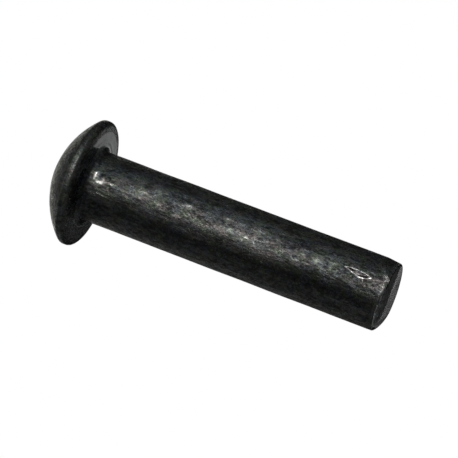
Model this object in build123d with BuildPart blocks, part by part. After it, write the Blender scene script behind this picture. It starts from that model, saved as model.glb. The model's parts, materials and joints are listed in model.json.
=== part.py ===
"""Ring gear rivet: one solid button head rivet, cold headed from cropped round bar.

Millimetres. The rivet stands on its cropped tail, +Z up the shank to the head, and the origin is
the centre of the tail face. Azimuths are degrees about +Z, from +X.
"""

import os
from math import asin, atan, cos, degrees, radians, sin

from build123d import *

# --- driving dimensions -------------------------------------------------------------------------
SHANK_DIAMETER = 11.1
SHANK_LENGTH = 49.2  # tail face to the bearing face under the head
UNDERHEAD_FILLET = 1.0

HEAD_DIAMETER = 20.1
HEAD_HEIGHT = 5.85  # bearing face to the top of the dome
RIM_CROWN_RADIUS = 0.65  # rounds the rim into the dome
RIM_LAND_HEIGHT = 0.35  # straight part of the rim
RIM_SEAT_RADIUS = 0.85  # rounds the rim into the bearing face

# The tail is cropped, not sawn. The edge is slightly rounded, one side of the shank is pressed in
# by the blade, the opposite side of the end face is drawn down with it (die roll), and the first
# part of the cut leans away from the rest.
TAIL_EDGE_RADIUS = 0.2
BLADE_MARK_DEPTH = 0.3  # how far in, at the tail face
BLADE_MARK_REACH = 2.5  # how far up the shank
BLADE_MARK_SPREAD = 72.0  # degrees to each side of its deepest line
BLADE_MARK_AZIMUTH = 8.0
DIE_ROLL_DEPTH = 0.7
DIE_ROLL_WIDTH = 3.8
DIE_ROLL_AZIMUTH = 180.0
FIRST_CUT_OFFSET = 2.0  # from the axis to the line where the first cut begins
FIRST_CUT_SLOPE = 8.0
FIRST_CUT_AZIMUTH = 215.0

# --- derived ------------------------------------------------------------------------------------
shank_radius = SHANK_DIAMETER / 2
head_radius = HEAD_DIAMETER / 2
seat_z = SHANK_LENGTH
apex_z = seat_z + HEAD_HEIGHT

# The head is widest along the rim's straight part, between its two arcs. The dome is a sphere
# through the apex that runs tangentially into the crown arc, which fixes its radius.
land_low_z = seat_z + RIM_SEAT_RADIUS
land_high_z = land_low_z + RIM_LAND_HEIGHT
crown_centre_x = head_radius - RIM_CROWN_RADIUS
crown_drop = apex_z - land_high_z - RIM_CROWN_RADIUS
dome_radius = RIM_CROWN_RADIUS + (crown_centre_x**2 + crown_drop**2) / (2 * crown_drop)
dome_centre_z = apex_z - dome_radius
dome_edge_angle = 90 - degrees(asin(crown_centre_x / (dome_radius - RIM_CROWN_RADIUS)))

# The blade mark is what lies outside a bore a little wider than the shank, whose axis crosses the
# rivet's at bore_cross_z and leans away from the mark on its way down to the tail.
mark_fraction = 1 - cos(radians(BLADE_MARK_SPREAD))
bore_shift = BLADE_MARK_DEPTH / mark_fraction
bore_radius = shank_radius + bore_shift - BLADE_MARK_DEPTH
bore_cross_z = BLADE_MARK_REACH / mark_fraction
bore_lean = atan(BLADE_MARK_DEPTH / BLADE_MARK_REACH)
clear_of_shank = 2 * shank_radius

die_roll_radius = (DIE_ROLL_WIDTH**2 + DIE_ROLL_DEPTH**2) / (2 * DIE_ROLL_DEPTH)
die_roll_start = shank_radius - DIE_ROLL_WIDTH


def outward(azimuth, lean=0.0):
    """Unit vector along an azimuth, turned up out of the horizontal by lean degrees."""
    level = cos(radians(lean))
    return Vector(
        level * cos(radians(azimuth)), level * sin(radians(azimuth)), sin(radians(lean))
    )


with BuildPart() as rivet:
    # Half section of head and shank, turned about the axis.
    with BuildSketch(Plane.XZ):
        with BuildLine():
            CenterArc((0, dome_centre_z), dome_radius, 90, dome_edge_angle - 90)
            crown_arc = CenterArc(
                (crown_centre_x, land_high_z), RIM_CROWN_RADIUS, dome_edge_angle, -dome_edge_angle
            )
            seat_arc = CenterArc(
                (head_radius - RIM_SEAT_RADIUS, land_low_z), RIM_SEAT_RADIUS, 0, -90
            )
            Line(crown_arc @ 1, seat_arc @ 0)
            tail_arc = CenterArc(
                (shank_radius - TAIL_EDGE_RADIUS, TAIL_EDGE_RADIUS), TAIL_EDGE_RADIUS, 0, -90
            )
            Polyline(seat_arc @ 1, (shank_radius, seat_z), tail_arc @ 0)
            Polyline(tail_arc @ 1, (0, 0), (0, apex_z))
        make_face()
    revolve(axis=Axis.Z)

    head_junction = (
        rivet.edges()
        .filter_by(GeomType.CIRCLE)
        .filter_by_position(Axis.Z, seat_z, seat_z)
        .sort_by(SortBy.RADIUS)[0]
    )
    fillet(head_junction, radius=UNDERHEAD_FILLET)

    # Blade mark: everything outside the leaning bore, from its crossing point down past the tail.
    bore_down = -outward(BLADE_MARK_AZIMUTH, 90 - degrees(bore_lean))
    with BuildSketch(Plane(origin=(0, 0, bore_cross_z), z_dir=bore_down)):
        Circle(clear_of_shank)
        Circle(bore_radius, mode=Mode.SUBTRACT)
    extrude(amount=2 * bore_cross_z, mode=Mode.SUBTRACT)

    # Die roll: the end face curves away from the floor towards one side of the shank.
    die_roll_plane = Plane(
        origin=(0, 0, 0), x_dir=outward(DIE_ROLL_AZIMUTH), z_dir=outward(DIE_ROLL_AZIMUTH - 90)
    )
    with BuildSketch(die_roll_plane):
        with BuildLine():
            roll_arc = CenterArc((die_roll_start, die_roll_radius), die_roll_radius, -90, 45)
            Polyline(
                roll_arc @ 1,
                ((roll_arc @ 1).X, -clear_of_shank),
                (die_roll_start, -clear_of_shank),
                roll_arc @ 0,
            )
        make_face()
    extrude(amount=clear_of_shank, both=True, mode=Mode.SUBTRACT)

    # First part of the cut: a plane that leaves the tail face at a shallow slope.
    first_cut_plane = Plane(
        origin=outward(FIRST_CUT_AZIMUTH) * FIRST_CUT_OFFSET,
        z_dir=outward(FIRST_CUT_AZIMUTH + 180, 90 - FIRST_CUT_SLOPE),
    )
    split(bisect_by=first_cut_plane, keep=Keep.TOP)

rivet.part.label = "rivet"
os.makedirs("parts", exist_ok=True)
export_step(rivet.part, "parts/rivet.step")
print(f"dome radius {dome_radius:.2f} mm, volume {rivet.part.volume:.0f} mm3")
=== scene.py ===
"""Ring gear rivet: the surface of a cold headed steel rivet, its studio and its camera.

The rivet stands on its cropped tail at the origin, +Z up the shank to the head. Lengths are metres,
as in the frame, and the finish works in millimetres. The side that the camera faces is -Y, and +X is
the side of the tail that the blade pressed in.
"""

import json
import logging
import math
from dataclasses import dataclass
from enum import Enum

import bpy
import numpy as np
from mathutils import Matrix, Vector


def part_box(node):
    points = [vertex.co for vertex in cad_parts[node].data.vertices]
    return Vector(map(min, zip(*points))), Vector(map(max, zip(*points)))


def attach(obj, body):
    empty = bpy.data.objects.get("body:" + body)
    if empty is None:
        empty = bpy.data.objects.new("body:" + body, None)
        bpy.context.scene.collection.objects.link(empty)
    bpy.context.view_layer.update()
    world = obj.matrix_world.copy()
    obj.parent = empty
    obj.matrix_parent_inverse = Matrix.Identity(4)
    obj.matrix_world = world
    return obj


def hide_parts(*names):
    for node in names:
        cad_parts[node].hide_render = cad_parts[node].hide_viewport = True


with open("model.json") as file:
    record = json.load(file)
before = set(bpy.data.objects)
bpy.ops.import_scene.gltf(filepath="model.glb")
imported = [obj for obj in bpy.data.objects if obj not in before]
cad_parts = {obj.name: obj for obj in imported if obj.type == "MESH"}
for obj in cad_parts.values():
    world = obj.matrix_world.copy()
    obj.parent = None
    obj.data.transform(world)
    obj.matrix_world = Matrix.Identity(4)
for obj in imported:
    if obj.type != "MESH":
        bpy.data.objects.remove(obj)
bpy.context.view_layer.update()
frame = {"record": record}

LOG = logging.getLogger("ring_gear_rivet")
MM = 0.001

Colour = tuple[float, float, float, float]
Socket = bpy.types.NodeSocket
Feed = float | Colour | Socket
PALE_PAINT: Colour = (0.9, 0.9, 0.9, 1.0)
RING_POINTS = 97  # along each ring of the floor and of the round walls


class Amount(Enum):
    """What the rivet's vertices carry for its finish, by the attribute's name."""

    # rubbed also carries painted shade as dull patches below 0, and painted light on the end face and rim
    RUBBED = "rubbed"
    # smooth also makes the colour lighter and bluer: painted light and a painted reflection
    SMOOTH = "smooth"
    TORN = "torn"


class Mixing(Enum):
    """How two colours are joined."""

    PLAIN = "MIX"
    TIMES = "MULTIPLY"


@dataclass(frozen=True)
class Ramp:
    """A smooth step from 0 at its low value to 1 at its high value."""

    low: float
    high: float

    def rise(self, value: np.ndarray) -> np.ndarray:
        """The step, as 3t^2 - 2t^3 of the share t of the way from low to high."""
        share = np.clip((value - self.low) / (self.high - self.low), 0.0, 1.0)
        return share * share * (3 - 2 * share)

    def fall(self, value: np.ndarray) -> np.ndarray:
        """The step turned over, from 1 down to 0."""
        return 1 - self.rise(value)


# --- finishes -----------------------------------------------------------------------------------


@dataclass(frozen=True)
class Pattern:
    """A noise pattern: its scale, how many finer layers it has and how strong they are."""

    scale: float
    layers: float
    rough: float


class Wiring:
    """Short calls for making and joining shader nodes in one tree."""

    def __init__(self, material: bpy.types.Material) -> None:
        """Clears the material's tree and keeps it.

        Args:
            material: The material.
        """
        material.use_nodes = True
        self.tree = material.node_tree
        self.tree.nodes.clear()

    def feed(self, socket: Socket, value: Feed) -> None:
        """Sets an input, or joins it to another node's output.

        Args:
            socket: The input.
            value: A number, a colour or an output.
        """
        if isinstance(value, Socket):
            self.tree.links.new(value, socket)
        else:
            socket.default_value = value

    def node(self, kind: str, settings: dict[str, str] | None = None, **inputs: Feed) -> bpy.types.Node:
        """Makes a node.

        Args:
            kind: The node's type, without its ShaderNode prefix.
            settings: Properties of the node.
            inputs: Inputs by name, with _ for a space.

        Returns:
            The node.
        """
        made = self.tree.nodes.new("ShaderNode" + kind)
        for key, value in (settings or {}).items():
            setattr(made, key, value)
        for key, value in inputs.items():
            self.feed(made.inputs[key.replace("_", " ")], value)
        return made

    def math(self, operation: str, *values: Feed) -> Socket:
        """Works out numbers with a Math node.

        Args:
            operation: The node's operation.
            values: Its inputs in order.

        Returns:
            The result.
        """
        made = self.node("Math", {"operation": operation})
        for socket, value in zip(made.inputs, values):
            self.feed(socket, value)
        return made.outputs[0]

    def times(self, first: Feed, second: Feed) -> Socket:
        """The product of two numbers."""
        return self.math("MULTIPLY", first, second)

    def rest(self, value: Feed) -> Socket:
        """What a number leaves of 1."""
        return self.math("SUBTRACT", 1.0, value)

    def larger(self, first: Feed, second: Feed) -> Socket:
        """The larger of two numbers."""
        return self.math("MAXIMUM", first, second)

    def total(self, *parts: tuple[Feed, float]) -> Socket:
        """Adds up numbers, each times its share.

        Args:
            parts: The numbers with their shares.

        Returns:
            The sum.
        """
        result = self.math("MULTIPLY", *parts[0])
        for value, share in parts[1:]:
            result = self.math("MULTIPLY_ADD", value, share, result)
        return result

    def amount(self, kind: Amount) -> Socket:
        """What the vertices carry of an amount."""
        return self.node("Attribute", {"attribute_name": kind.value}).outputs["Fac"]

    def noise(self, place: Feed, pattern: Pattern) -> Socket:
        """Lays a noise pattern.

        Args:
            place: Where in space the pattern is read.
            pattern: The pattern.

        Returns:
            Its value, about 0.5 on average.
        """
        made = self.node("TexNoise", Vector=place, Scale=pattern.scale)
        self.feed(made.inputs["Detail"], pattern.layers)
        self.feed(made.inputs["Roughness"], pattern.rough)
        return made.outputs[0]

    def spread(self, value: Feed, over: Ramp, to_low: float = 0.0, to_high: float = 1.0) -> Socket:
        """Carries a number's range smoothly onto another one.

        Args:
            value: The number.
            over: Its range.
            to_low: What the low end becomes.
            to_high: What the high end becomes.

        Returns:
            The carried number.
        """
        made = self.node("MapRange", {"interpolation_type": "SMOOTHSTEP"}, Value=value)
        ends = {"From Min": over.low, "From Max": over.high, "To Min": to_low, "To Max": to_high}
        for name, end in ends.items():
            made.inputs[name].default_value = end
        return made.outputs["Result"]

    def mix(self, share: Feed, first: Feed, second: Feed, how: Mixing = Mixing.PLAIN) -> Socket:
        """Joins two colours.

        Args:
            share: How much the second one counts, from 0 to 1.
            first: A colour.
            second: The other colour.
            how: Whether the second one covers the first or multiplies it.

        Returns:
            The colour.
        """
        made = self.node("Mix", {"data_type": "RGBA", "blend_type": how.value})
        for index, value in ((0, share), (6, first), (7, second)):
            self.feed(made.inputs[index], value)
        return made.outputs[2]

    def blend(self, share: Feed, first: Socket, second: Socket) -> Socket:
        """Joins two shaders.

        Args:
            share: How much the second one counts, from 0 to 1.
            first: A shader.
            second: The other shader.

        Returns:
            The shader.
        """
        made = self.node("MixShader")
        for socket, value in zip(made.inputs, (share, first, second)):
            self.feed(socket, value)
        return made.outputs[0]


@dataclass(frozen=True)
class DarkSteel:
    """Dark scale on steel, wiped with oil and rubbed bright in patches, with light and shade painted in
    places.

    Scales of the patterns are per millimetre, and their stretches say how much longer than wide they
    are along the shank.
    """

    green_scale: Colour = (0.0045, 0.0053, 0.0034, 1.0)
    blue_scale: Colour = (0.0045, 0.0048, 0.0068, 1.0)
    scuff_colour: Colour = (0.0175, 0.0178, 0.0158, 1.0)
    torn_colour: Colour = (0.32, 0.32, 0.34, 1.0)
    steel_colour: Colour = (0.082, 0.081, 0.078, 1.0)
    fresh_colour: Colour = (0.55, 0.54, 0.52, 1.0)
    green_sheen: Colour = (0.92, 1.03, 0.88, 1.0)
    blue_sheen: Colour = (0.93, 1.0, 1.03, 1.0)
    warm_sheen: Colour = (1.02, 0.95, 0.95, 1.0)
    # painted reflection: a bluish tint on the smooth seat and end face, for the bluish surroundings they
    # mirror
    painted_reflection_tint: Colour = (1.04, 1.14, 1.27, 1.0)
    specular: float = 0.42
    roughness: float = 0.38
    worn_stretch: float = 2.0
    drawn_stretch: float = 5.0
    blotches: Pattern = Pattern(0.8, 5.0, 0.66)
    streaks: Pattern = Pattern(1.6, 3.0, 0.6)
    grains: Pattern = Pattern(2.6, 3.0, 0.65)
    fine_grains: Pattern = Pattern(5.5, 2.0, 0.6)
    scuffs: Pattern = Pattern(1.3, 4.0, 0.6)
    hues: Pattern = Pattern(0.7, 3.0, 0.6)
    warm_hues: Pattern = Pattern(1.05, 3.0, 0.6)
    rubbed_range: Ramp = Ramp(0.88, 1.58)
    metal_range: Ramp = Ramp(0.0, 0.6)
    fresh_range: Ramp = Ramp(2.9, 4.1)
    speck_range: Ramp = Ramp(0.41, 0.59)
    torn_range: Ramp = Ramp(0.40, 0.60)
    scuffed_range: Ramp = Ramp(0.50, 0.66)
    hue_range: Ramp = Ramp(0.43, 0.57)
    warm_range: Ramp = Ramp(0.46, 0.60)
    smooth_range: Ramp = Ramp(0.0, 0.5)
    dull_range: Ramp = Ramp(-1.5, 0.0)

    def material(self) -> bpy.types.Material:
        """Makes the material.

        Returns:
            The material.
        """
        made = bpy.data.materials.new("dark_steel")
        w = SteelWiring(made, self)
        sheen = w.sheen()
        shader = w.node(
            "BsdfPrincipled",
            Base_Color=w.colour(sheen),
            Metallic=w.metal(),
            Roughness=w.roughness(),
            Normal=w.bump(),
            Specular_Tint=sheen,
            Specular_IOR_Level=self.specular,
        )
        w.node("OutputMaterial", Surface=shader.outputs[0])
        return made


class SteelWiring(Wiring):
    """The nodes of dark steel, with the patterns and amounts that several of its parts read."""

    def __init__(self, material: bpy.types.Material, look: DarkSteel) -> None:
        """Lays the patterns and reads what the vertices carry.

        Args:
            material: The material.
            look: Its colours, patterns and ranges.
        """
        super().__init__(material)
        self.look = look
        self.placed, self.smooth, self.torn = (self.amount(kind) for kind in Amount)
        self.along = self.space(look.worn_stretch)
        self.blotch = self.noise(self.along, look.blotches)
        self.streak = self.noise(self.space(look.drawn_stretch), look.streaks)
        self.grain = self.noise(self.along, look.grains)
        self.fine = self.noise(self.along, look.fine_grains)
        self.hue = self.spread(self.noise(self.space(1.0), look.hues), look.hue_range)
        self.speck = self.total((self.blotch, 0.3), (self.grain, 0.38), (self.fine, 0.32))
        coarse = self.spread(self.smooth, look.smooth_range, 1.0, 0.2)
        self.uneven = self.times(self.spread(self.speck, look.speck_range, -1.0, 1.0), coarse)
        chance = self.total((self.blotch, 0.65), (self.streak, 0.30), (self.grain, 0.55), (self.fine, 0.50))
        # placed patches include painted shade below 0, and painted light on the end face and the rim's edge
        rubbing = self.total((chance, 1.0), (self.placed, 0.34), (self.torn, -0.3))
        self.rubbed = self.spread(rubbing, look.rubbed_range)
        self.fresh = self.spread(self.total((self.placed, 1.0), (self.grain, 2.5)), look.fresh_range)

    def space(self, stretch: float) -> Socket:
        """The rivet's own space in millimetres, with patterns drawn out along the shank.

        Args:
            stretch: How much longer than wide they become.

        Returns:
            The place in that space.
        """
        place = self.node("TexCoord").outputs["Object"]
        scale = (1 / MM, 1 / MM, 1 / (stretch * MM))
        return self.node("Mapping", Vector=place, Scale=scale).outputs[0]

    def sheen(self) -> Socket:
        """The faint hues of the oil film, green, blue and warm in patches, and a painted bluish reflection.

        Returns:
            The hue.
        """
        look = self.look
        warm = self.spread(self.noise(self.along, look.warm_hues), look.warm_range)
        sheen = self.mix(warm, self.mix(self.hue, look.green_sheen, look.blue_sheen), look.warm_sheen)
        # painted reflection: the smooth seat and end face take the bluish tint
        return self.mix(self.smooth, sheen, look.painted_reflection_tint)

    def colour(self, sheen: Socket) -> Socket:
        """Lays scale (lighter where smooth: painted light), scuffs, torn, rubbed and fresh steel over one
        another.

        Args:
            sheen: The oil film's hue.

        Returns:
            The colour.
        """
        look = self.look
        # painted light: the colour is up to 1.8 times lighter where the seat and the end face are smooth
        shade = self.total((1.0, 1.0), (self.uneven, 0.9), (self.smooth, 0.8))
        scale = self.mix(self.hue, look.green_scale, look.blue_scale)
        colour = self.node("VectorMath", {"operation": "SCALE"}, Vector=scale, Scale=shade).outputs[0]
        scuffs = self.noise(self.along, look.scuffs)
        scuffing = self.total((scuffs, 0.6), (self.streak, 0.4), (self.placed, 0.05))
        colour = self.mix(self.spread(scuffing, look.scuffed_range), colour, look.scuff_colour)
        torn = self.times(self.torn, self.spread(self.speck, look.torn_range, 0.15, 1.0))
        colour = self.mix(torn, colour, look.torn_colour)
        # rubbed and fresh steel also carry painted light on the end face and the rim's edge
        colour = self.mix(self.rubbed, colour, look.steel_colour)
        colour = self.mix(1.0, colour, sheen, Mixing.TIMES)
        return self.mix(self.fresh, colour, look.fresh_colour)

    def metal(self) -> Socket:
        """The share of metal: bare steel, and dull scale as dark metal that mirrors less, in places painted
        shade.

        Returns:
            The share.
        """
        glossy = self.spread(self.speck, self.look.speck_range, 0.48, 1.0)
        shine = self.times(self.spread(self.placed, self.look.dull_range, 0.2, 1.0), glossy)
        dull = self.times(self.rest(shine), self.rest(self.torn))
        bare = self.larger(self.spread(self.rubbed, self.look.metal_range), self.fresh)
        return self.larger(bare, dull)

    def roughness(self) -> Socket:
        """The roughness, less where the steel is smooth and more where it is torn."""
        base = (1.0, self.look.roughness)
        return self.total(base, (self.uneven, -0.16), (self.smooth, -0.22), (self.torn, 0.22))

    def bump(self) -> Socket:
        """The relief of the grain, in millimetres, nearly flat where the metal is smooth.

        Returns:
            The normal.
        """
        relief = self.total((self.grain, 0.06), (self.streak, 0.05), (self.blotch, 0.09), (self.fine, 0.035))
        strength = self.spread(self.smooth, self.look.smooth_range, 1.0, 0.08)
        return self.node("Bump", Height=relief, Distance=MM, Strength=strength).outputs[0]


@dataclass(frozen=True)
class WhitePaper:
    """White paper: pale paint to the lamps' light, plain white to the camera and in reflections."""

    paint: Colour = PALE_PAINT

    def shader(self, w: Wiring) -> Socket:
        """Wires the paper.

        Args:
            w: The material's nodes.

        Returns:
            The shader.
        """
        ray = w.node("LightPath").outputs
        seen = w.larger(w.larger(ray["Is Camera Ray"], ray["Is Glossy Ray"]), ray["Is Transmission Ray"])
        paint = w.node("BsdfDiffuse", Color=self.paint).outputs[0]
        return w.blend(seen, paint, w.node("Emission").outputs[0])

    def material(self) -> bpy.types.Material:
        """Makes the material.

        Returns:
            The material.
        """
        made = bpy.data.materials.new("backdrop_paper")
        w = Wiring(made)
        w.node("OutputMaterial", Surface=self.shader(w))
        return made


@dataclass(frozen=True)
class FloorPaint:
    """Pale paint round the rivet that runs out into white paper, seen from above only."""

    paint: Colour = PALE_PAINT
    paper: WhitePaper = WhitePaper()
    runs_out: Ramp = Ramp(0.10, 0.32)

    def material(self) -> bpy.types.Material:
        """Makes the material.

        Returns:
            The material.
        """
        made = bpy.data.materials.new("floor_paint")
        w = Wiring(made)
        place = w.node("TexCoord").outputs["Object"]
        away = w.node("VectorMath", {"operation": "LENGTH"}, Vector=place).outputs["Value"]
        paint = w.node("BsdfDiffuse", Color=self.paint).outputs[0]
        from_above = w.blend(w.spread(away, self.runs_out), paint, self.paper.shader(w))
        clear = w.node("BsdfTransparent").outputs[0]
        below = w.node("NewGeometry").outputs["Backfacing"]
        w.node("OutputMaterial", Surface=w.blend(below, from_above, clear))
        return made


class ShadeCloth(Enum):
    """The plain cloths of the flags of painted shade, with their grey shades."""

    GREY = 0.25
    BLACK = 0.01

    def material(self) -> bpy.types.Material:
        """Makes the material.

        Returns:
            The material.
        """
        made = bpy.data.materials.new(self.name.lower() + "_cloth")
        w = Wiring(made)
        cloth = w.node("BsdfDiffuse", Color=(self.value, self.value, self.value, 1.0))
        w.node("OutputMaterial", Surface=cloth.outputs[0])
        return made


# --- the rivet's surface ------------------------------------------------------------------------


@dataclass(frozen=True)
class RivetSizes:
    """Radii and heights of the rivet. The first four come from the frame."""

    shank_radius: float
    seat_height: float
    head_radius: float
    apex_height: float
    crown_radius: float = 0.65 * MM
    land_height: float = 0.35 * MM
    seat_arc_radius: float = 0.85 * MM
    flat_seat_radius: float = 8.5 * MM  # from here out the seat rounds off towards the rim
    fillet_radius: float = 1.0 * MM
    tail_edge_radius: float = 0.1 * MM

    @classmethod
    def from_frame(cls) -> "RivetSizes":
        """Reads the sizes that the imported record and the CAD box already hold.

        Returns:
            The sizes, with the rim and edge radii at their usual values.
        """
        mounts = {mount["name"]: mount for mount in frame["record"]["mounts"]}
        low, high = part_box("rivet")
        return cls(
            shank_radius=mounts["shank"]["dims"]["r_mm"] * MM,
            seat_height=mounts["head_seat"]["pos_m"][2],
            head_radius=(high.x - low.x) / 2,
            apex_height=high.z,
        )


def arc(centre: tuple[float, float], radius: float, start: float, end: float, count: int) -> np.ndarray:
    """Points along a circular arc of a half section.

    Args:
        centre: Distance from the axis and height of the arc's centre.
        radius: Radius of the arc.
        start: First angle in degrees, from outward, positive upwards.
        end: Last angle in degrees.
        count: Number of points, both ends included.

    Returns:
        An array of count rows, each (distance from the axis, height).
    """
    turn = np.radians(np.linspace(start, end, count))
    return np.column_stack((centre[0] + radius * np.cos(turn), centre[1] + radius * np.sin(turn)))


def line(start: tuple[float, float], end: tuple[float, float], count: int) -> np.ndarray:
    """Points along a straight stretch of a half section, both ends included."""
    share = np.linspace(0.0, 1.0, count)[:, None]
    return np.asarray(start) * (1 - share) + np.asarray(end) * share


@dataclass(frozen=True)
class Relief:
    """Slow uneven waves of a worked surface: a sum of plane waves through space.

    The height at a point p is the sum of a_i cos(k_i . p + f_i). The waves k_i point every way, are
    stretched along the shank, and a longer wave is taller, so that all have the same slope.
    """

    slope: float
    longest: float
    shortest: float
    stretch: float
    count: int
    seed: int

    def height(self, points: np.ndarray) -> np.ndarray:
        """Height of the waves at each point.

        Args:
            points: Array of shape (..., 3).

        Returns:
            Heights, of the points' leading shape.
        """
        draw = np.random.default_rng(self.seed)
        length = self.shortest * (self.longest / self.shortest) ** draw.random(self.count)
        way = draw.normal(size=(3, self.count))
        way[2] /= self.stretch
        way /= np.linalg.norm(way * np.array([[1.0], [1.0], [self.stretch]]), axis=0)
        number = 2 * np.pi / length
        phase = draw.random(self.count) * 2 * np.pi
        amplitude = self.slope / number * math.sqrt(2 / self.count)
        return np.cos(points @ (way * number) + phase) @ amplitude


@dataclass(frozen=True)
class TailMarks:
    """What cropping the bar left at the tail. Angles are degrees from +X.

    The blade pressed in one side of the shank, the opposite side of the end face is drawn down with
    it, and the first part of the cut leans away from the rest.
    """

    blade_depth: float = 0.3 * MM
    blade_reach: float = 2.5 * MM
    blade_spread: float = 72.0
    blade_azimuth: float = 8.0
    blade_margin: float = 0.5 * MM  # how far past its reach the mark may run
    roll_depth: float = 0.7 * MM
    roll_width: float = 3.8 * MM
    roll_azimuth: float = 180.0
    first_cut_offset: float = 2.0 * MM
    first_cut_slope: float = 8.0
    first_cut_azimuth: float = 215.0
    easing_height: float = 3.0 * MM  # above this the end face's form is gone from the shank

    def bore_wall(self, turn: np.ndarray, height: np.ndarray, shank_radius: float) -> np.ndarray:
        """Distance from the axis to the leaning bore that the blade mark lies on.

        With u the turn from the mark, s how far the bore's centre has moved away from the mark at
        that height and c the squared cosine of the bore's lean, a wall point at distance r has
        c (r cos u + s)^2 + (r sin u)^2 = (bore radius)^2, solved for r.

        Args:
            turn: Angles about the axis, in radians.
            height: Heights above the tail.
            shank_radius: Radius of the shank.

        Returns:
            The distances, as the two arrays broadcast.
        """
        fraction = 1 - math.cos(math.radians(self.blade_spread))
        shift = self.blade_depth / fraction
        bore_radius = shank_radius + shift - self.blade_depth
        lean = math.atan(self.blade_depth / self.blade_reach)
        in_reach = np.minimum(height, 2 * self.blade_reach)
        moved = (self.blade_reach / fraction - in_reach) * math.tan(lean)
        from_mark = turn - math.radians(self.blade_azimuth)
        squash = math.cos(lean) ** 2
        square = squash * np.cos(from_mark) ** 2 + np.sin(from_mark) ** 2
        linear = squash * moved * np.cos(from_mark)
        constant = squash * moved**2 - bore_radius**2
        return (np.sqrt(linear**2 - square * constant) - linear) / square

    def lift(self, across: np.ndarray, along: np.ndarray, shank_radius: float) -> np.ndarray:
        """How far the end face stands above the floor, from the die roll and the first cut.

        The die roll rises as R - sqrt(R^2 - t^2) with t the distance past its start, and the first
        cut as its slope times the distance past its line. The higher one counts.

        Args:
            across: X of the points.
            along: Y of the points.
            shank_radius: Radius of the shank.

        Returns:
            The heights.
        """
        def towards(azimuth: float) -> np.ndarray:
            """Distance from the axis towards an azimuth."""
            return across * math.cos(math.radians(azimuth)) + along * math.sin(math.radians(azimuth))

        roll_radius = (self.roll_width**2 + self.roll_depth**2) / (2 * self.roll_depth)
        past = np.maximum(towards(self.roll_azimuth) - (shank_radius - self.roll_width), 0.0)
        roll = roll_radius - np.sqrt(roll_radius**2 - past**2)
        slope = math.tan(math.radians(self.first_cut_slope))
        first_cut = slope * np.maximum(towards(self.first_cut_azimuth) - self.first_cut_offset, 0.0)
        return np.maximum(roll, first_cut)

    def crop(
        self, turn: np.ndarray, radius: np.ndarray, height: np.ndarray, shank_radius: float
    ) -> np.ndarray:
        """Presses the blade mark into the turned surface and gives the end face its form.

        In the mark the surface draws in to the bore's wall. The end face rises by its lift, and the
        shank above it by a share of the lift that falls evenly to 0 at the easing height.

        Args:
            turn: Angles about the axis, in radians, one for each column.
            radius: Distances from the axis, of shape (rows, columns).
            height: Heights of the same shape.
            shank_radius: Radius of the shank.

        Returns:
            Points of shape (rows, columns, 3).
        """
        in_mark = height < self.blade_reach + self.blade_margin
        shrink = np.minimum(1.0, self.bore_wall(turn[None, :], height, shank_radius) / shank_radius)
        radius = np.where(in_mark, radius * shrink, radius)
        across, along = radius * np.cos(turn), radius * np.sin(turn)
        lift = self.lift(across, along, shank_radius)
        eased = lift + height * (1 - lift / self.easing_height)
        height = np.where(height < self.easing_height, eased, height)
        return np.stack((across, along, height), axis=-1)


@dataclass(frozen=True)
class WearAndShadingPatch:
    """A patch rubbed brighter, or below 0 a pit or dull patch that mirrors less; some are painted light and
    shade.

    Heights are millimetres above the tail, and sides are degrees from -Y round to +X.
    """

    height: float
    side: float
    half_height: float
    half_side: float
    strength: float = 1.0
    lean: float = 0.0  # degrees of side per millimetre of height
    on_rim: bool = False

    def amount(self, height: np.ndarray, side: np.ndarray) -> np.ndarray:
        """The patch as a bell curve: its strength times exp(-a^2 - b^2).

        a and b are the distances from its middle up and round the rivet, in its half lengths.

        Args:
            height: Millimetres above the tail.
            side: Degrees from -Y round to +X.

        Returns:
            The amounts.
        """
        up = (height - self.height) / self.half_height
        away = (side - self.side - self.lean * (height - self.height)) / self.half_side
        return self.strength * np.exp(-(up**2) - away**2)


@dataclass(frozen=True)
class Scratch:
    """A bright scratch along the shank, as a chain of (height, side) places as in WearAndShadingPatch."""

    chain: tuple[tuple[float, float], ...]
    half_width: float = 0.11
    strength: float = 2.6

    def amount(self, height: np.ndarray, side: np.ndarray, shank_radius: float) -> np.ndarray:
        """The scratch as a bell curve: its strength times exp(-(d / w)^2).

        d is the shortest distance to the chain's straight stretches on the unrolled shank, and w the
        scratch's half width.

        Args:
            height: Millimetres above the tail.
            side: Degrees from -Y round to +X.
            shank_radius: Radius of the shank in metres.

        Returns:
            The amounts.
        """
        per_degree = math.radians(1.0) * shank_radius / MM
        place = np.stack((height, side * per_degree), axis=-1)
        corners = np.array(self.chain) * np.array([1.0, per_degree])
        nearest = np.full(height.shape, np.inf)
        for start, end in zip(corners[:-1], corners[1:]):
            way = end - start
            share = np.clip((place - start) @ way / (way @ way), 0.0, 1.0)
            gap = np.linalg.norm(place - start - share[..., None] * way, axis=-1)
            nearest = np.minimum(nearest, gap)
        return self.strength * np.exp(-((nearest / self.half_width) ** 2))


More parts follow.
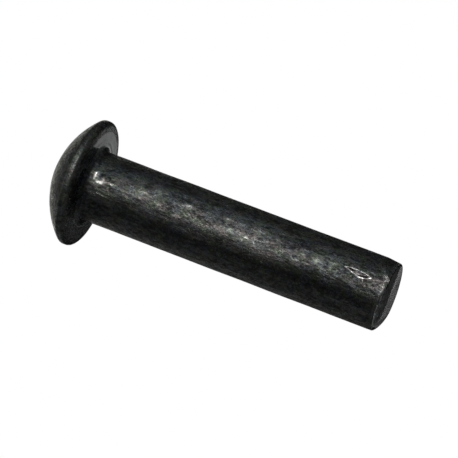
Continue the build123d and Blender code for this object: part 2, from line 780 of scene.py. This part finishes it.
WEAR_AND_SHADING_PATCHES = (
    # under the head
    WearAndShadingPatch(47.7, 13.8, 0.65, 7, 2.2),
    WearAndShadingPatch(47.0, 6, 1.0, 3, 0.4),
    WearAndShadingPatch(46.1, 9.8, 1.4, 2.8, 1.9, -2.0),
    WearAndShadingPatch(46.2, 6, 0.8, 2.6, 1.5),
    WearAndShadingPatch(46.2, 14.5, 0.35, 4.5, 2.0),
    WearAndShadingPatch(44.9, 10.7, 0.5, 2.5, 1.5),
    WearAndShadingPatch(47.8, 21, 0.4, 6, 1.7),
    WearAndShadingPatch(46.7, 20, 0.5, 4.5, -1.6),
    WearAndShadingPatch(45.4, 18.5, 0.4, 4.5, -1.6),
    WearAndShadingPatch(44.7, 19, 0.3, 2.2, 1.0),
    WearAndShadingPatch(45.8, -10, 1.9, 1.8, 2.2),
    WearAndShadingPatch(45.3, -3, 1.8, 4, 0.8),
    # upper part of the shank
    WearAndShadingPatch(42.6, 10, 0.9, 7, 0.5),
    WearAndShadingPatch(39.9, 16, 1.1, 7, 1.5),
    WearAndShadingPatch(40.3, 7.5, 1.3, 4.5, 1.2),
    WearAndShadingPatch(37.6, 15.5, 1.5, 4.5, 1.6),
    WearAndShadingPatch(37.2, 16.5, 0.5, 2, -1.3),
    WearAndShadingPatch(38.3, 9, 1.2, 2.5, 0.8),
    WearAndShadingPatch(36.9, 8.5, 0.7, 2.5, 1.0),
    WearAndShadingPatch(37.4, 28, 1.2, 4.5, 1.8),
    WearAndShadingPatch(35.3, 18, 0.7, 5, -1.0),
    WearAndShadingPatch(32.4, 23, 1.2, 4, 2.3, -1.5),
    WearAndShadingPatch(30.5, 27, 0.8, 5, -1.2),
    WearAndShadingPatch(33.6, 1.5, 0.9, 2.6, 1.3),
    WearAndShadingPatch(32.1, 8.5, 0.7, 4, 1.3),
    WearAndShadingPatch(30.4, 3.5, 1.0, 4, 1.9),
    WearAndShadingPatch(29.0, 2, 0.8, 3.5, 1.4),
    WearAndShadingPatch(33.4, -6, 0.7, 2, 0.9),
    WearAndShadingPatch(31.4, -15.5, 1.4, 1.6, 2.2),
    WearAndShadingPatch(29.3, -20, 0.6, 1.5, 2.2),
    # middle of the shank
    WearAndShadingPatch(27.0, 7, 1.4, 5, 0.5),
    WearAndShadingPatch(25.0, 9.5, 1.8, 4.5, 1.4),
    WearAndShadingPatch(22.2, 10, 1.9, 4.5, 1.5),
    WearAndShadingPatch(21.5, 3.5, 2.6, 4, 1.4),
    WearAndShadingPatch(24.5, 1, 2.2, 4, 1.1),
    WearAndShadingPatch(20.4, -7, 0.8, 2, 1.4),
    WearAndShadingPatch(19.8, -10, 1.8, 3, 1.3),
    WearAndShadingPatch(18.5, -4, 1.6, 4, 1.2),
    WearAndShadingPatch(18.2, 14, 1.2, 4, 1.0),
    WearAndShadingPatch(16.6, 5.5, 1.6, 3.5, 1.4),
    WearAndShadingPatch(19.6, 3, 1.0, 4, 0.9),
    WearAndShadingPatch(18.9, -15, 0.8, 2.5, 1.2),
    WearAndShadingPatch(26.1, 25, 1.0, 4, 2.1),
    WearAndShadingPatch(23.8, 25, 0.7, 2.5, 0.6),
    WearAndShadingPatch(20.8, 26, 1.5, 4.5, 1.7),
    WearAndShadingPatch(17.8, 36, 1.6, 3, 0.9),
    WearAndShadingPatch(24.7, 16, 0.6, 1.2, -1.5),
    # lower part of the shank
    WearAndShadingPatch(15.4, 17, 0.8, 5, -0.9),
    WearAndShadingPatch(14.0, 29, 2.4, 7, -1.0),
    WearAndShadingPatch(13.4, 14, 1.2, 4, 1.0),
    WearAndShadingPatch(11.2, 14, 0.9, 3, 1.6),
    WearAndShadingPatch(8.7, 19, 0.8, 2.5, 1.8),
    WearAndShadingPatch(8.9, 9.5, 0.5, 3, 1.3),
    WearAndShadingPatch(12.0, 3.5, 2.8, 1.6, 1.5),
    WearAndShadingPatch(4.4, 3, 3.8, 3, 0.6),
    # edge of the tail, then the end face, lighter towards +X and duller on its far side: painted light and
    # shade
    WearAndShadingPatch(1.1, 14, 1.2, 9, 0.6),
    WearAndShadingPatch(0.5, 15, 0.45, 13, 1.2),
    WearAndShadingPatch(0.0, 22, 0.04, 8, 1.2),
    WearAndShadingPatch(0.0, 110, 0.04, 28, 3.0),
    WearAndShadingPatch(0.0, 170, 0.04, 35, -1.6),
    WearAndShadingPatch(0.0, -160, 0.04, 40, -1.2),
    # painted shade: dull stretches that darken the shank's lower side
    WearAndShadingPatch(9.0, -17, 8.0, 9, -0.7),
    WearAndShadingPatch(10.5, -4.5, 5.0, 3, -0.6),
    WearAndShadingPatch(26.0, -26, 28.0, 8, -0.7),
    # edge of the rim, rubbed bright as wear and as a painted highlight, then the fillet, dulled as painted
    # shade
    WearAndShadingPatch(49.85, 9, 0.3, 20, 1.2, 0.0, True),
    WearAndShadingPatch(48.6, -5, 0.45, 45, -1.0),
)

SCRATCHES = (
    Scratch(((6.9, 21), (6.5, 22.3), (5.8, 23), (4.8, 22.8), (3.6, 21.5), (2.9, 19.8), (2.6, 17.6)), 0.08),
    Scratch(((6.9, 21), (5.9, 17.6), (5.2, 15.2), (4.6, 13.2), (4, 13), (3.4, 14.2), (2.6, 17.6)), 0.12),
    Scratch(((5.5, 18.9), (4.8, 17.2), (4.2, 17.4), (3.5, 19.2)), 0.07, 2.2),
    Scratch(((3.8, 13), (3.65, 9.6)), 0.10),
    Scratch(((2.3, 16.3), (1.1, 19.3), (0.1, 23.3)), 0.09, 0.9),
    Scratch(((6.1, 20.6), (5.3, 19.8)), 0.09, -3.0),
    Scratch(((4.1, 15.7), (3.3, 16.3)), 0.12, -3.0),
)


@dataclass(frozen=True)
class Wear:
    """Where the rivet is rubbed, smooth and torn, with light and shade painted in places.

    A border is measured across the edge of its area and a gain along X. A skin is how near its
    surface a point has to lie to count.
    """

    sizes: RivetSizes
    tail: TailMarks
    least: float = -2.0
    most: float = 3.0
    rim_width: float = 0.9 * MM
    below_seat: Ramp = Ramp(-1.3 * MM, -0.9 * MM)  # heights from the seat where rubbing ends
    outer_share: float = 0.9  # of the shank's radius, inside which lies the end face
    ridge_width: float = 0.03 * MM
    ridge_top: float = 2.6 * MM
    ridge_strength: float = 1.7
    edge_height: float = 0.3 * MM
    edge_width: float = 0.2 * MM
    edge_strength: float = 1.3
    edge_start: Ramp = Ramp(-75.0, -45.0)  # degrees from -Y round to +X
    edge_end: Ramp = Ramp(8.0, 20.0)
    sheared_offset: float = 0.15 * MM
    sheared_bend: float = 40.0  # per metre
    sheared_border: Ramp = Ramp(-0.12 * MM, 0.12 * MM)
    sheared_least: float = 0.42
    sheared_gain: Ramp = Ramp(-2.5 * MM, 2.5 * MM)
    sheared_skin: float = 0.05 * MM
    seat_start: Ramp = Ramp(-0.9 * MM, -0.5 * MM)  # heights from the seat, up the fillet
    seat_flat: Ramp = Ramp(-0.2 * MM, -0.1 * MM)  # the same, to the flat part
    seat_skin: float = 0.15 * MM
    seat_border: Ramp = Ramp(-0.1 * MM, 0.15 * MM)
    seat_gain: Ramp = Ramp(-1.0 * MM, 3.0 * MM)
    torn_contrast: float = 2.3
    torn_skin: float = 0.01 * MM

    def above_end(self, points: np.ndarray) -> np.ndarray:
        """Height of each point above the end face's own surface."""
        return points[..., 2] - self.tail.lift(points[..., 0], points[..., 1], self.sizes.shank_radius)

    def patches(self, points: np.ndarray, height: np.ndarray, side: np.ndarray) -> np.ndarray:
        """Adds up the patches. A bright one ends below the fillet, unless it lies on the rim.

        Args:
            points: Array of shape (..., 3).
            height: Their millimetres above the tail.
            side: Their degrees from -Y round to +X.

        Returns:
            The amounts.
        """
        radius = np.hypot(points[..., 0], points[..., 1])
        on_rim = radius > self.sizes.head_radius - self.rim_width
        total = np.zeros(height.shape)
        for patch in WEAR_AND_SHADING_PATCHES:
            total += patch.amount(height, side) * (on_rim == patch.on_rim)
        clear = np.where(on_rim, 1.0, self.below_seat.fall(points[..., 2] - self.sizes.seat_height))
        return np.minimum(total, 0.0) + np.maximum(total, 0.0) * clear

    def tail_edges(self, points: np.ndarray, side: np.ndarray) -> np.ndarray:
        """Rubs the blade mark's ridge and the near part of the tail's edge, each as a bell curve.

        The ridge lies where the bore's wall meets the shank, and the edge just above the end face.

        Args:
            points: Array of shape (..., 3).
            side: Their degrees from -Y round to +X.

        Returns:
            The amounts.
        """
        shank_radius = self.sizes.shank_radius
        outer = np.hypot(points[..., 0], points[..., 1]) > self.outer_share * shank_radius
        wall = self.tail.bore_wall(np.radians(side - 90.0), points[..., 2], shank_radius)
        ridge = np.exp(-(((wall - shank_radius) / self.ridge_width) ** 2)) * (points[..., 2] < self.ridge_top)
        off_edge = (self.above_end(points) - self.edge_height) / self.edge_width
        edge = np.exp(-(off_edge**2)) * self.edge_start.rise(side) * self.edge_end.fall(side)
        return (self.ridge_strength * ridge + self.edge_strength * edge) * outer

    def rubbed(self, points: np.ndarray) -> np.ndarray:
        """How much each point is rubbed bright, below 0 where it is pitted or dull, with patches of painted
        light and shade.

        Args:
            points: Array of shape (..., 3).

        Returns:
            The amounts, of the points' leading shape.
        """
        height = points[..., 2] / MM
        side = np.degrees(np.arctan2(points[..., 0], -points[..., 1]))
        total = self.patches(points, height, side)
        for scratch in SCRATCHES:
            total += scratch.amount(height, side, self.sizes.shank_radius)
        return np.clip(total + self.tail_edges(points, side), self.least, self.most)

    def sheared(self, points: np.ndarray) -> np.ndarray:
        """Where the far part of the end face was sheared smooth, from 0 to 1.

        Its border lies just on the -Y side of the axis, and bends away from it towards -X with the
        square of X. It is smoother towards +X.

        Args:
            points: Array of shape (..., 3).

        Returns:
            The amounts.
        """
        across, along = points[..., 0], points[..., 1]
        past = along + self.sheared_offset + self.sheared_bend * np.minimum(across, 0.0) ** 2
        share = self.sheared_border.rise(past) * (self.above_end(points) < self.sheared_skin)
        # the rise towards +X also makes the colour lighter and bluer there: painted light and reflection
        return share * (self.sheared_least + (1 - self.sheared_least) * self.sheared_gain.rise(across))

    def pressed(self, points: np.ndarray) -> np.ndarray:
        """Where the head's seat was pressed smooth, from 0 to 1: half all round, and all at +X.

        Args:
            points: Array of shape (..., 3).

        Returns:
            The amounts.
        """
        off_seat = points[..., 2] - self.sizes.seat_height
        seat = self.seat_start.rise(off_seat) * (off_seat < self.seat_skin)
        radius = np.hypot(points[..., 0], points[..., 1])
        inside = self.seat_border.fall(radius - self.sizes.flat_seat_radius)
        # the +X gain also makes the colour lighter and bluer there: painted light and reflection
        gain = self.seat_flat.rise(off_seat) * self.seat_gain.rise(points[..., 0])
        return (1 + gain) / 2 * seat * inside

    def smooth(self, points: np.ndarray) -> np.ndarray:
        """Where the end face was sheared smooth or the seat pressed smooth, from 0 to 1."""
        return self.sheared(points) + self.pressed(points)

    def torn(self, points: np.ndarray) -> np.ndarray:
        """Where the end face was torn rough, from 0 to 1: its part that isn't sheared smooth."""
        whole = np.minimum(self.torn_contrast * self.smooth(points), 1.0)
        return (1 - whole) * (self.above_end(points) < self.torn_skin)

    def amounts(self, points: np.ndarray) -> dict[Amount, np.ndarray]:
        """All that the vertices carry for the finish.

        Args:
            points: Array of shape (..., 3).

        Returns:
            The amounts by kind.
        """
        return {
            Amount.RUBBED: self.rubbed(points),
            Amount.SMOOTH: self.smooth(points),
            Amount.TORN: self.torn(points),
        }


@dataclass(frozen=True)
class RivetBody:
    """The one solid of the rivet, as a turned surface with the marks of its making."""

    sizes: RivetSizes
    tail: TailMarks = TailMarks()
    finish: DarkSteel = DarkSteel()
    around: int = 360
    fine_tail: float = 7.5 * MM  # the rows lie closer together below this height
    forging: Relief = Relief(0.012, 9 * MM, 2.5 * MM, 1.8, 48, 11)
    drawing: Relief = Relief(0.022, 1.6 * MM, 0.6 * MM, 9.0, 64, 12)
    head_calm: float = 0.55  # share of the forging waves that the head lost
    seat_calm: float = 0.7  # share of the rest that the seat lost
    head_blend: float = 1.0 * MM  # height over which the shank's waves give way to the head's
    tail_fade: float = 1.0 * MM  # height over which all waves fade out towards the tail
    head_drop: float = 0.25 * MM  # how much lower the head sits on its -X side
    drop_blend: float = 1.5 * MM  # height below the seat over which the drop sets in
    ring_radius: float = 7.0 * MM  # raised ring that the header's die left under the head
    ring_height: float = 0.02 * MM
    ring_width: float = 0.22 * MM
    seat_roll: float = 0.06 * MM

    def half_section(self) -> np.ndarray:
        """The outline from the top of the dome to the middle of the tail face.

        The dome is a sphere through the apex that meets the crown arc tangentially: with x the
        crown centre's distance from the axis and k its drop below the apex less the crown radius,
        the sphere's radius is the crown radius plus (x^2 + k^2) / 2k.

        Returns:
            An array of rows (distance from the axis, height), without the two points on the axis.
        """
        s = self.sizes
        land_low = s.seat_height + s.seat_arc_radius
        land_high = land_low + s.land_height
        crown_x = s.head_radius - s.crown_radius
        drop = s.apex_height - land_high - s.crown_radius
        dome_radius = s.crown_radius + (crown_x**2 + drop**2) / (2 * drop)
        dome_centre = (0.0, s.apex_height - dome_radius)
        meet = 90 - math.degrees(math.asin(crown_x / (dome_radius - s.crown_radius)))
        fillet_x = s.shank_radius + s.fillet_radius
        fillet_top = s.seat_height - s.fillet_radius
        seat_x = s.head_radius - s.seat_arc_radius
        tail_x = s.shank_radius - s.tail_edge_radius
        stretches = (
            arc(dome_centre, dome_radius, 90, meet, 36)[1:],
            arc((crown_x, land_high), s.crown_radius, meet, 0, 10)[1:],
            line((s.head_radius, land_high), (s.head_radius, land_low), 4)[1:],
            arc((seat_x, land_low), s.seat_arc_radius, 0, -90, 12)[1:],
            line((seat_x, s.seat_height), (fillet_x, s.seat_height), 16)[1:],
            arc((fillet_x, fillet_top), s.fillet_radius, 90, 180, 12)[1:],
            line((s.shank_radius, fillet_top), (s.shank_radius, self.fine_tail), 86)[1:],
            line((s.shank_radius, self.fine_tail), (s.shank_radius, s.tail_edge_radius), 57)[1:],
            arc((tail_x, s.tail_edge_radius), s.tail_edge_radius, 0, -90, 9)[1:],
            line((tail_x, 0.0), (0.0, 0.0), 26)[1:-1],
        )
        return np.vstack(stretches)

    def outward(self, section: np.ndarray) -> np.ndarray:
        """Unit vectors square to the half section, pointing out of the metal.

        Args:
            section: Rows of (distance from the axis, height), from the dome round to the tail.

        Returns:
            Rows of (away from the axis, up).
        """
        ahead = np.gradient(section, axis=0)
        square = np.column_stack((-ahead[:, 1], ahead[:, 0]))
        return square / np.linalg.norm(square, axis=1)[:, None]

    def stand_off(self, section: np.ndarray, square: np.ndarray, turn: np.ndarray) -> np.ndarray:
        """How far the worked surface stands off the plain turned one.

        Forging waves run all over and drawing waves along the shank. On the head the waves only go
        inwards, so that it stays as wide and as high as it is. Under it the seat has a raised ring, a
        bell curve across its width, and rounds off towards the rim.

        Args:
            section: Rows of (distance from the axis, height).
            square: Outward unit vectors, as rows of (away from the axis, up).
            turn: Angles about the axis, in radians.

        Returns:
            The distances, of shape (rows, turns).
        """
        s = self.sizes
        radius, height = section[:, :1], section[:, 1:]
        plain = np.stack(np.broadcast_arrays(radius * np.cos(turn), radius * np.sin(turn), height), axis=-1)
        on_shank = Ramp(s.seat_height - self.head_blend, s.seat_height).fall(height)
        on_head = 1 - on_shank
        faces_down = square[:, 1:] < 0
        on_seat = (square[:, 1:] < -0.9) & (height > s.seat_height / 2)
        forged = self.forging.height(plain) * (1 - self.head_calm * on_head)
        forged = forged - on_head * (forged * on_head).max()
        forged = forged * (1 - self.seat_calm * on_seat)
        drawn = self.drawing.height(plain) * on_shank
        pressed = self.ring_height * np.exp(-(((radius - self.ring_radius) / self.ring_width) ** 2)) * on_seat
        rolled = self.seat_roll * Ramp(s.flat_seat_radius, s.head_radius - s.seat_arc_radius).rise(radius)
        rolled = rolled * Ramp(s.seat_height, s.seat_height + s.seat_arc_radius).fall(height)
        away = forged + drawn + pressed - rolled * on_head * faces_down
        return away * Ramp(0.0, self.tail_fade).rise(height)

    def grid(self) -> np.ndarray:
        """The half section carried round the axis, worked, cropped and with its head lopsided.

        The head drops on its -X side, in proportion to the distance that way.

        Returns:
            Points of shape (section, around, 3).
        """
        s = self.sizes
        section = self.half_section()
        square = self.outward(section)
        turn = np.arange(self.around) * (2 * np.pi / self.around)
        away = self.stand_off(section, square, turn)
        radius = section[:, :1] + square[:, :1] * away
        height = section[:, 1:] + square[:, 1:] * away
        points = self.tail.crop(turn, radius, height, s.shank_radius)
        side = np.minimum(points[..., 0], 0.0) / s.head_radius
        near_head = Ramp(s.seat_height - self.drop_blend, s.seat_height).rise(points[..., 2])
        points[..., 2] += self.head_drop * side * near_head
        return points

    def dress(self, mesh: bpy.types.Mesh, vertices: np.ndarray) -> None:
        """Gives the mesh its wear and its finish.

        Args:
            mesh: The mesh.
            vertices: Its vertices, of shape (count, 3).
        """
        for kind, amount in Wear(self.sizes, self.tail).amounts(vertices).items():
            attribute = mesh.attributes.new(kind.value, "FLOAT", "POINT")
            attribute.data.foreach_set("value", amount.astype(np.float32))
        mesh.materials.append(self.finish.material())
        mesh.update()

    def build(self) -> bpy.types.Object:
        """Makes the closed mesh: the grid, and a fan of triangles round each point on the axis.

        Returns:
            The new object, at the origin, with its finish.
        """
        points = self.grid()
        rows, columns = points.shape[:2]
        top = np.array([[0.0, 0.0, points[0, :, 2].max()]])
        bottom = np.array([[0.0, 0.0, 0.0]])
        vertices = np.vstack((points.reshape(-1, 3), top, bottom))
        index = np.arange(rows * columns).reshape(rows, columns)
        ahead = np.roll(index, -1, axis=1)
        quads = np.stack((index[:-1], index[1:], ahead[1:], ahead[:-1]), axis=-1).reshape(-1, 4)
        top_fan = np.stack((np.full(columns, rows * columns), index[0], ahead[0]), axis=-1)
        bottom_fan = np.stack((np.full(columns, rows * columns + 1), ahead[-1], index[-1]), axis=-1)
        mesh = bpy.data.meshes.new("rivet_body")
        mesh.from_pydata(vertices.tolist(), [], quads.tolist() + top_fan.tolist() + bottom_fan.tolist())
        mesh.polygons.foreach_set("use_smooth", np.ones(len(mesh.polygons), dtype=bool))
        self.dress(mesh, vertices)
        body = bpy.data.objects.new("rivet_body", mesh)
        bpy.context.scene.collection.objects.link(body)
        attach(body, "root")
        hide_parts("rivet")
        return body


# --- camera -------------------------------------------------------------------------------------


@dataclass(frozen=True)
class Viewpoint:
    """Where the camera stands: on the tail's side of the shank, rolled so that the head is at the left."""

    toward_tail: float = 13.39  # degrees that the tail leans towards the camera
    fall: float = 20.75  # degrees that the shank falls to the right
    distance: float = 409.6 * MM
    lens: float = 210.3
    aim_below_seat: float = 22.37 * MM
    aim_off_axis: float = 1.154 * MM
    nearest: float = 0.05
    farthest: float = 10.0

    def place(self, sizes: RivetSizes) -> bpy.types.Object:
        """Makes the camera and gives it to the scene.

        Args:
            sizes: The rivet's sizes, for the height that the camera aims at.

        Returns:
            The camera.
        """
        lean, fall = math.radians(self.toward_tail), math.radians(self.fall)
        back = Vector((0.0, -math.cos(lean), -math.sin(lean)))
        along = Vector((0.0, math.sin(lean), -math.cos(lean)))
        side = Vector((1.0, 0.0, 0.0))
        right = math.cos(fall) * along + math.sin(fall) * side
        up = math.cos(fall) * side - math.sin(fall) * along
        seat = Vector((0.0, 0.0, sizes.seat_height))
        aim = seat + self.aim_below_seat * along + self.aim_off_axis * up
        data = bpy.data.cameras.new("camera")
        data.lens = self.lens
        data.clip_start, data.clip_end = self.nearest, self.farthest
        camera = bpy.data.objects.new("camera", data)
        turn = Matrix((right, up, back)).transposed().to_4x4()
        camera.matrix_world = Matrix.Translation(aim + self.distance * back) @ turn
        bpy.context.scene.collection.objects.link(camera)
        bpy.context.scene.camera = camera
        return camera


# --- studio -------------------------------------------------------------------------------------


@dataclass(frozen=True)
class Softbox:
    """A rectangular lamp that faces a point half way up the rivet.

    Its azimuth is degrees from -Y round to +X, and its elevation degrees above the floor.
    """

    name: str
    azimuth: float
    elevation: float
    distance: float
    width: float
    height: float
    radiance: float
    tint: tuple[float, float, float] = (1.0, 1.0, 1.0)

    def away(self) -> Vector:
        """Unit vector from the rivet to the lamp."""
        turn, rise = math.radians(self.azimuth), math.radians(self.elevation)
        return Vector((math.sin(turn) * math.cos(rise), -math.cos(turn) * math.cos(rise), math.sin(rise)))

    def hang(self, target: Vector) -> bpy.types.Object:
        """Makes the lamp. Its power is its radiance times pi times its area.

        Args:
            target: The point that it faces.

        Returns:
            The lamp.
        """
        data = bpy.data.lights.new(self.name, "AREA")
        data.shape, data.size, data.size_y = "RECTANGLE", self.width, self.height
        data.energy = self.radiance * math.pi * self.width * self.height
        data.color = self.tint
        lamp = bpy.data.objects.new(self.name, data)
        lamp.visible_camera = False
        away = self.away()
        turn = away.to_track_quat("Z", "Y").to_matrix().to_4x4()
        lamp.matrix_world = Matrix.Translation(target + away * self.distance) @ turn
        bpy.context.scene.collection.objects.link(lamp)
        return lamp


@dataclass(frozen=True)
class ShadeFlag:
    """A flat cloth just above the floor, whose far end may turn up: painted shade that only shows in
    reflections.
    """

    name: str
    cloth: ShadeCloth
    left: float
    right: float
    front: float
    back: float
    rise: float = 0.0
    clearance: float = 0.5 * MM
    flat_share: float = 0.6
    columns: int = 9
    rows: int = 17

    def points(self) -> np.ndarray:
        """The cloth, from its front to its back.

        With t from 0 to 1 from front to back, it rises as the square of what t has past the flat
        share, up to its rise at the back.

        Returns:
            Points of shape (rows, columns, 3).
        """
        across = np.linspace(self.left, self.right, self.columns)[None, :]
        share = np.linspace(0.0, 1.0, self.rows)[:, None]
        along = self.front + (self.back - self.front) * share
        turned_up = np.maximum(share - self.flat_share, 0) / (1 - self.flat_share)
        height = self.clearance + self.rise * turned_up**2
        return np.stack(np.broadcast_arrays(across, along, height), axis=-1)


@dataclass(frozen=True)
class RoundWall:
    """A round wall about the rivet, from +X towards +Y and on to an angle in degrees."""

    name: str
    radius: float
    low: float
    high: float
    end: float = 360.0

    def points(self) -> np.ndarray:
        """The wall as two rings.

        Returns:
            Points of shape (2, columns, 3).
        """
        turn = np.radians(np.linspace(0.0, self.end, RING_POINTS))
        height = np.array([self.low, self.high])[:, None]
        across, along = self.radius * np.cos(turn), self.radius * np.sin(turn)
        return np.stack(np.broadcast_arrays(across, along, height), axis=-1)


# painted shade: grey and black sheets that darken the floor and surroundings that the rivet mirrors
SHADE_FLAGS = (
    ShadeFlag("near_flag", ShadeCloth.GREY, -600 * MM, 600 * MM, -70 * MM, 130 * MM),
    ShadeFlag("back_flag", ShadeCloth.BLACK, -500 * MM, 3 * MM, 130 * MM, 600 * MM, 60 * MM),
    ShadeFlag("right_flag", ShadeCloth.BLACK, 50 * MM, 500 * MM, 130 * MM, 600 * MM, 60 * MM),
    ShadeFlag("side_flag", ShadeCloth.BLACK, -500 * MM, -40 * MM, -500 * MM, -110 * MM),
)

LAMPS = (
    Softbox("key", 21.5, 12, 0.6, 0.40, 0.23, 6.5, (1.0, 0.99, 0.985)),
    Softbox("cool_side", 60, 18, 0.6, 0.24, 0.20, 2.25, (0.74, 0.88, 1.02)),
    Softbox("top", 15, 58, 0.7, 0.4, 0.45, 2.1),
    Softbox("rear", 180, 31, 0.9, 0.9, 0.38, 0.87, (1.0, 0.99, 0.92)),
    Softbox("dome", 180, 50, 0.8, 0.3, 0.25, 0.4, (1.0, 0.99, 0.90)),
    Softbox("overhead", -95, 56, 0.8, 0.6, 0.6, 0.7),
    Softbox("low_edge", -128, 14, 0.7, 0.45, 0.3, 0.27),
)


@dataclass(frozen=True)
class Studio:
    """Pale floor, white backdrop, dark flags of painted shade seen only in reflections, lamps and a dim
    surround.
    """

    floor_radii: tuple[float, ...] = (5 * MM, 12 * MM, 0.1, 0.5, 2.5)
    backdrop_half_width: float = 0.22
    backdrop_low: float = -0.12
    backdrop_high: float = 0.46
    backdrop_distance: float = 1.0
    low_wall: RoundWall = RoundWall("low_wall", 1.2, 0.0, 0.11)
    # painted shade: a black wall about the rivet that only shows in reflections
    skirt: RoundWall = RoundWall("skirt", 0.7, 5 * MM, 120 * MM, 180.0)
    world_level: float = 0.068

    def sheet(self, name: str, points: np.ndarray, material: bpy.types.Material) -> bpy.types.Object:
        """A staged surface from a grid of points.

        Args:
            name: The object's name.
            points: Points of shape (rows, columns, 3), the front face where rows turn into columns
                anticlockwise.
            material: Its material.

        Returns:
            The staged object.
        """
        rows, columns = points.shape[:2]
        index = np.arange(rows * columns).reshape(rows, columns)
        quads = np.stack((index[:-1, :-1], index[1:, :-1], index[1:, 1:], index[:-1, 1:]), axis=-1)
        mesh = bpy.data.meshes.new(name)
        mesh.from_pydata(points.reshape(-1, 3).tolist(), [], quads.reshape(-1, 4).tolist())
        mesh.materials.append(material)
        mesh.update()
        sheet = bpy.data.objects.new(name, mesh)
        bpy.context.scene.collection.objects.link(sheet)
        return sheet

    def floor_points(self) -> np.ndarray:
        """Rings of the floor from just under the rivet's edge outwards.

        Returns:
            Points of shape (rings, columns, 3).
        """
        turn = np.linspace(0, 2 * np.pi, RING_POINTS)
        radius = np.array(self.floor_radii)[:, None]
        return np.stack(np.broadcast_arrays(radius * np.cos(turn), radius * np.sin(turn), 0.0), axis=-1)

    def backdrop_points(self) -> np.ndarray:
        """The upright backdrop behind the rivet.

        Returns:
            Points of shape (rows, columns, 3).
        """
        across = np.linspace(-self.backdrop_half_width, self.backdrop_half_width, 5)[None, :]
        height = np.linspace(self.backdrop_low, self.backdrop_high, 9)[:, None]
        return np.stack(np.broadcast_arrays(across, self.backdrop_distance, height), axis=-1)

    def reflected_only(self, flag: bpy.types.Object) -> None:
        """Makes a flag of painted shade show in glossy surfaces only."""
        for kind in ("camera", "diffuse", "transmission", "shadow", "volume_scatter"):
            setattr(flag, "visible_" + kind, False)

    def surround(self) -> None:
        """Gives the scene a plain dim world."""
        world = bpy.data.worlds.new("studio")
        world.use_nodes = True
        shade = world.node_tree.nodes["Background"]
        shade.inputs["Color"].default_value = (1, 1, 1, 1)
        shade.inputs["Strength"].default_value = self.world_level
        bpy.context.scene.world = world

    def build(self, sizes: RivetSizes) -> list[bpy.types.Object]:
        """Lays the floor, puts up the backdrop, the walls and the flags of painted shade and hangs the lamps.

        Args:
            sizes: The rivet's sizes, for the height that the lamps face.

        Returns:
            The staged surfaces.
        """
        paper = WhitePaper().material()
        seen = [
            self.sheet("floor", self.floor_points(), FloorPaint().material()),
            self.sheet("backdrop", self.backdrop_points(), paper),
            self.sheet(self.low_wall.name, self.low_wall.points(), paper),
        ]
        cloths = {cloth: cloth.material() for cloth in ShadeCloth}
        reflected = [self.sheet(flag.name, flag.points(), cloths[flag.cloth]) for flag in SHADE_FLAGS]
        reflected.append(self.sheet(self.skirt.name, self.skirt.points(), cloths[ShadeCloth.BLACK]))
        for flag in reflected:
            self.reflected_only(flag)
        target = Vector((0, 0, sizes.seat_height / 2))
        for lamp in LAMPS:
            lamp.hang(target)
        self.surround()
        return seen + reflected


def main() -> None:
    logging.basicConfig(level=logging.INFO, format="%(name)s: %(message)s")
    bpy.context.scene.view_settings.view_transform = "Standard"
    sizes = RivetSizes.from_frame()
    body = RivetBody(sizes).build()
    Viewpoint().place(sizes)
    for piece in (body, *Studio().build(sizes)):
        LOG.info("%s: %d faces", piece.name, len(piece.data.polygons))


if __name__ == "__main__":
    main()
